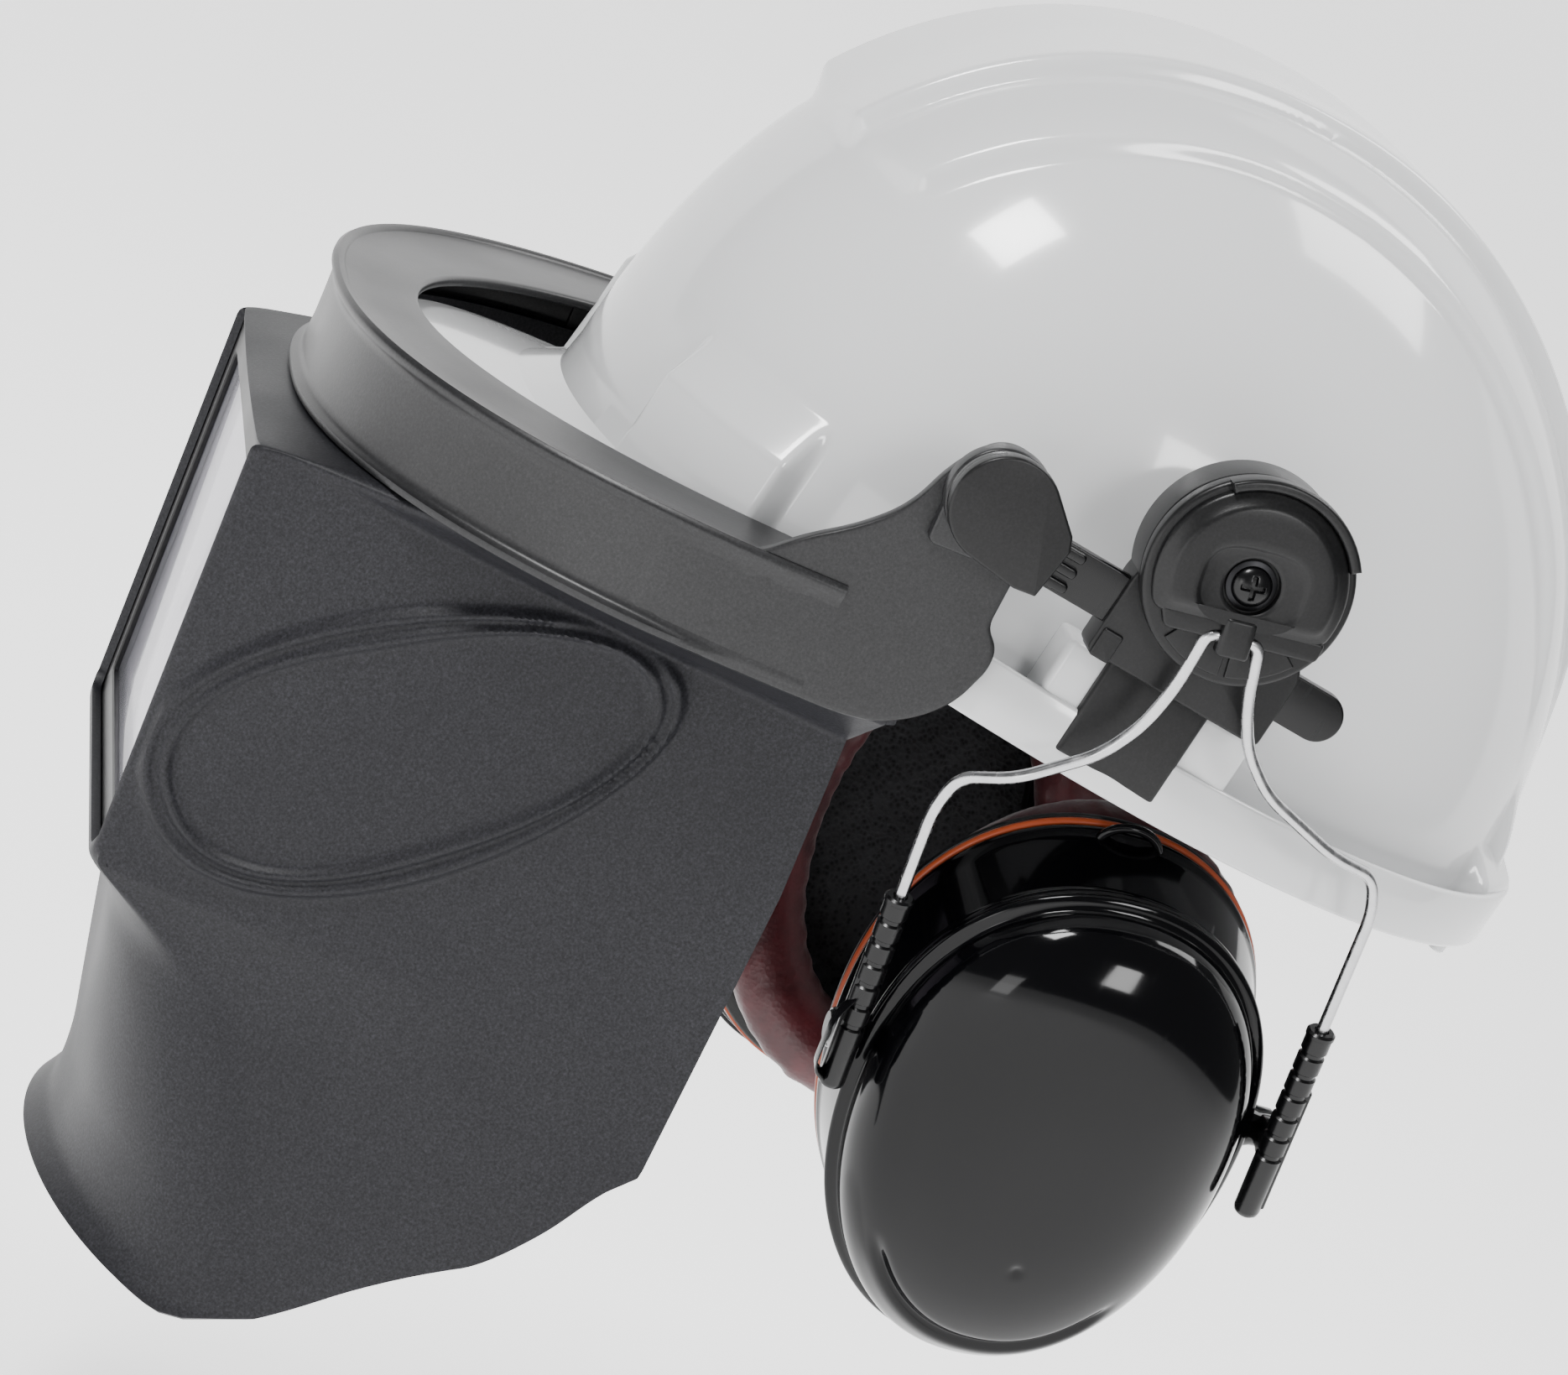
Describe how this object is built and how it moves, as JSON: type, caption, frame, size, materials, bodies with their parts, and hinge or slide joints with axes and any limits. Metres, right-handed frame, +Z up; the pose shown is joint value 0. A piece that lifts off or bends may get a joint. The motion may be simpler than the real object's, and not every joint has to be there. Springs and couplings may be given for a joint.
{
  "type": "safety helmet with face shield and ear muffs",
  "caption": "White hard hat with a flip-up dark face shield on a sliding carrier, and ear muffs that turn, swing out, slide and tilt on wire yokes",
  "frame": {"origin": "centre of the head opening, in the plane of the helmet's lower rim", "axes": "+Z up with the helmet worn upright, the wearer looks along -Y, +X is the wearer's left"},
  "size_m": [0.266, 0.3175, 0.36],
  "materials": {
    "shell": "polished ABS",
    "harness_white": "moulded polyethylene",
    "band": "moulded",
    "sweatband": "padded foam and fabric",
    "black_plastic": "fine moulded texture",
    "graphite_plastic": "fine spark texture",
    "cover_gloss": "polished",
    "ring": "translucent orange",
    "cushion": "soft grained leatherette",
    "foam": "open cell foam",
    "steel": "bright drawn wire",
    "cover_glass": "clear",
    "filter_glass": "tinted"
  },
  "bodies": {
    "helmet": {"shell": "shell", "cradle": "harness_white", "headband": "band", "sweatband": "sweatband", "adaptor_base_left": "black_plastic", "adaptor_base_right": "black_plastic", "adaptor_screw_left": "black_plastic", "adaptor_screw_right": "black_plastic", "friction_washer_left": "steel", "friction_washer_right": "steel"},
    "nape": {"nape_strap": "band"},
    "visor_slide": {"visor_blade_left": "black_plastic", "visor_blade_right": "black_plastic", "pivot_pin_left": "graphite_plastic", "pivot_pin_right": "graphite_plastic"},
    "visor": {"visor_carrier": "graphite_plastic", "face_shield": "graphite_plastic", "glass_frame": "black_plastic", "filter_glass": "filter_glass", "cover_glass": "cover_glass", "glass_spring": "steel"},
    "muff_turn_left": {"muff_plate_left": "graphite_plastic"},
    "yoke_left": {"wire_yoke_left": "steel"},
    "slider_left": {"front_slider_left": "black_plastic", "rear_slider_left": "black_plastic"},
    "cup_left": {"cup_body_left": "black_plastic", "cup_cover_left": "cover_gloss", "seal_ring_left": "ring", "cushion_plate_left": "black_plastic", "ear_cushion_left": "cushion", "cup_foam_left": "foam"},
    "muff_turn_right": {"muff_plate_right": "graphite_plastic"},
    "yoke_right": {"wire_yoke_right": "steel"},
    "slider_right": {"front_slider_right": "black_plastic", "rear_slider_right": "black_plastic"},
    "cup_right": {"cup_body_right": "black_plastic", "cup_cover_right": "cover_gloss", "seal_ring_right": "ring", "cushion_plate_right": "black_plastic", "ear_cushion_right": "cushion", "cup_foam_right": "foam"}
  },
  "joints": [
    {"name": "nape_adjust", "type": "slide", "parent": "helmet", "child": "nape", "axis": [0, -1, 0], "range_m": [0, 0.018]},
    {"name": "visor_reach", "type": "slide", "parent": "helmet", "child": "visor_slide", "axis": [0, -1, 0], "range_m": [0, 0.025]},
    {"name": "visor_flip", "type": "hinge", "parent": "visor_slide", "child": "visor", "pos_m": [0, -0.05, 0.044], "axis": [-1, 0, 0], "range_deg": [0, 92]},
    {"name": "muff_turn_left", "type": "hinge", "parent": "helmet", "child": "muff_turn_left", "pos_m": [0.1267, 0.002, 0.058], "axis": [1, 0, 0], "range_deg": [-4, 6]},
    {"name": "yoke_swing_left", "type": "hinge", "parent": "muff_turn_left", "child": "yoke_left", "pos_m": [0.1302, 0.00531, 0.04646], "axis": [0, -0.9613, -0.2756], "range_deg": [0, 35]},
    {"name": "muff_height_left", "type": "slide", "parent": "yoke_left", "child": "slider_left", "axis": [-0.2079, 0.2696, -0.9403], "range_m": [0, 0.016]},
    {"name": "cup_tilt_left", "type": "hinge", "parent": "slider_left", "child": "cup_left", "pos_m": [0.08353, 0.04297, -0.06855], "axis": [0, 0.9613, 0.2756], "range_deg": [-8, 8]},
    {"name": "muff_turn_right", "type": "hinge", "parent": "helmet", "child": "muff_turn_right", "pos_m": [-0.1267, 0.002, 0.058], "axis": [1, 0, 0], "range_deg": [-2, 6]},
    {"name": "yoke_swing_right", "type": "hinge", "parent": "muff_turn_right", "child": "yoke_right", "pos_m": [-0.1302, 0.00367, 0.04612], "axis": [0, 0.9903, 0.1392], "range_deg": [0, 35]},
    {"name": "muff_height_right", "type": "slide", "parent": "yoke_right", "child": "slider_right", "axis": [0.2079, 0.1361, -0.9686], "range_m": [0, 0.022]},
    {"name": "cup_tilt_right", "type": "hinge", "parent": "slider_right", "child": "cup_right", "pos_m": [-0.0852, 0.02387, -0.06527], "axis": [0, 0.9903, 0.1392], "range_deg": [-8, 8]}
  ]
}
